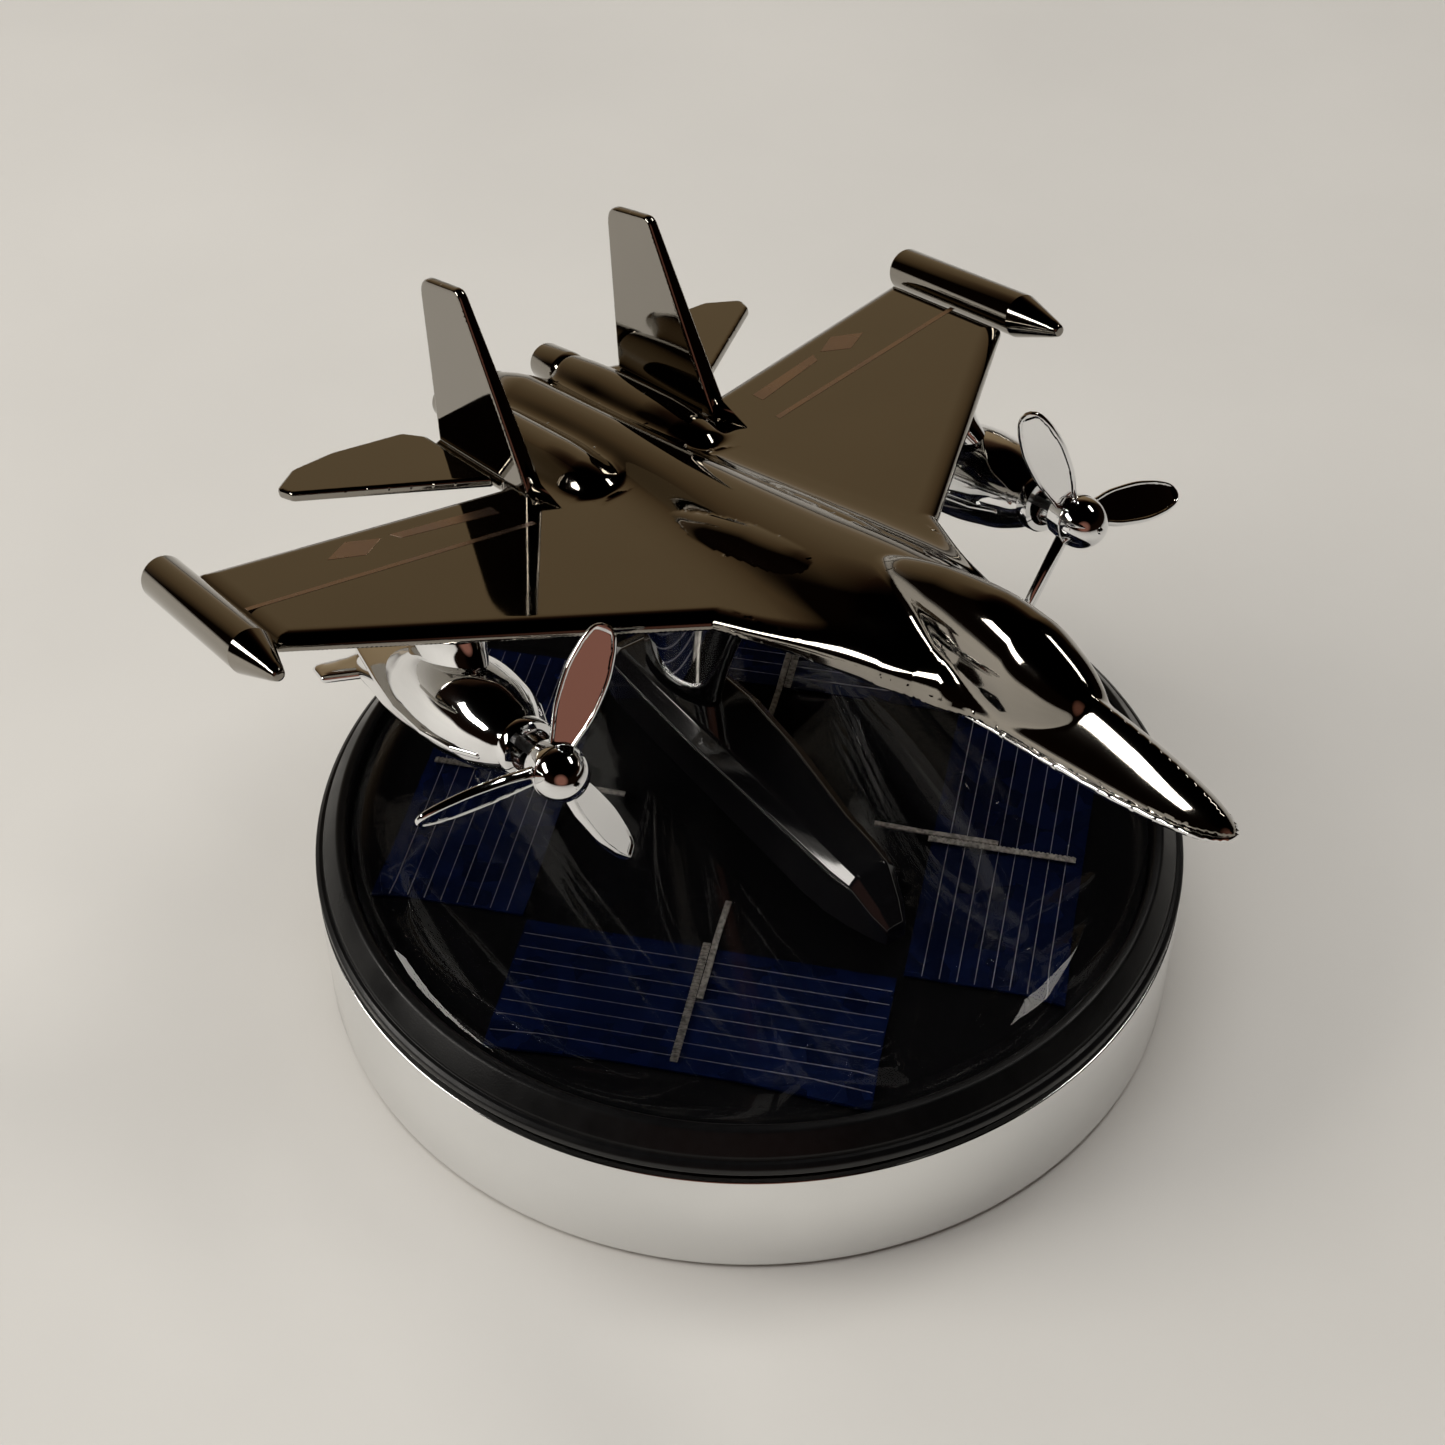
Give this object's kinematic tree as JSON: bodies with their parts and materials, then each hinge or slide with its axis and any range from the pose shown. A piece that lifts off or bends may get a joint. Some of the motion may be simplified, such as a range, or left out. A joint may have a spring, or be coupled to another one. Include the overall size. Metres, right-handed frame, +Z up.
{
  "type": "solar dashboard aircraft ornament",
  "caption": "Plated model jet on a swept stand over a round solar base, with motor pods under the wings that spin their propellers.",
  "frame": {"origin": "centre of the base's underside", "axes": "+Z up, +X towards the jet's nose, +Y towards its left wing"},
  "size_m": [0.1154, 0.0994, 0.0746],
  "materials": {
    "black_chrome": "mirror dark plating",
    "bright_chrome": "mirror plating",
    "gloss_black": "gloss",
    "matte_black": "fine textured",
    "clear_acrylic": "clear gloss",
    "silicon": "dark blue, finely ruled",
    "tinned_copper": "satin",
    "zinc_steel": "satin",
    "pad_rubber": "matt"
  },
  "bodies": {
    "airframe": {"base_pad": "pad_rubber", "lead_wires": "pad_rubber", "chrome_wall": "bright_chrome", "belly_pylon": "bright_chrome", "lower_shell": "bright_chrome", "base_plate": "matte_black", "bezel_ring": "matte_black", "cell_tray": "gloss_black", "stand": "gloss_black", "clear_cover": "clear_acrylic", "base_screw_1": "zinc_steel", "base_screw_2": "zinc_steel", "base_screw_3": "zinc_steel", "solar_cell_front": "silicon", "cell_ribbon_front": "tinned_copper", "solar_cell_left": "silicon", "cell_ribbon_left": "tinned_copper", "solar_cell_rear": "silicon", "cell_ribbon_rear": "tinned_copper", "solar_cell_right": "silicon", "cell_ribbon_right": "tinned_copper", "stand_screw_rear": "zinc_steel", "stand_screw_front": "zinc_steel", "shell_screw_rear": "zinc_steel", "shell_screw_front": "zinc_steel", "upper_shell": "black_chrome", "fin_left": "black_chrome", "tailplane_left": "black_chrome", "tip_rail_left": "black_chrome", "pod_upper_left": "bright_chrome", "pod_lower_left": "bright_chrome", "motor_left": "zinc_steel", "fin_right": "black_chrome", "tailplane_right": "black_chrome", "tip_rail_right": "black_chrome", "pod_upper_right": "bright_chrome", "pod_lower_right": "bright_chrome", "motor_right": "zinc_steel"},
    "prop_left": {"propeller_left": "bright_chrome", "spinner_left": "bright_chrome", "motor_shaft_left": "zinc_steel"},
    "prop_right": {"propeller_right": "bright_chrome", "spinner_right": "bright_chrome", "motor_shaft_right": "zinc_steel"}
  },
  "joints": [
    {"name": "prop_spin_left", "type": "hinge", "parent": "airframe", "child": "prop_left", "pos_m": [0.01257, 0.0311, 0.0523], "axis": [0.9703, 0, 0.2419], "continuous": true},
    {"name": "prop_spin_right", "type": "hinge", "parent": "airframe", "child": "prop_right", "pos_m": [0.01257, -0.0311, 0.0523], "axis": [0.9703, 0, 0.2419], "continuous": true}
  ]
}
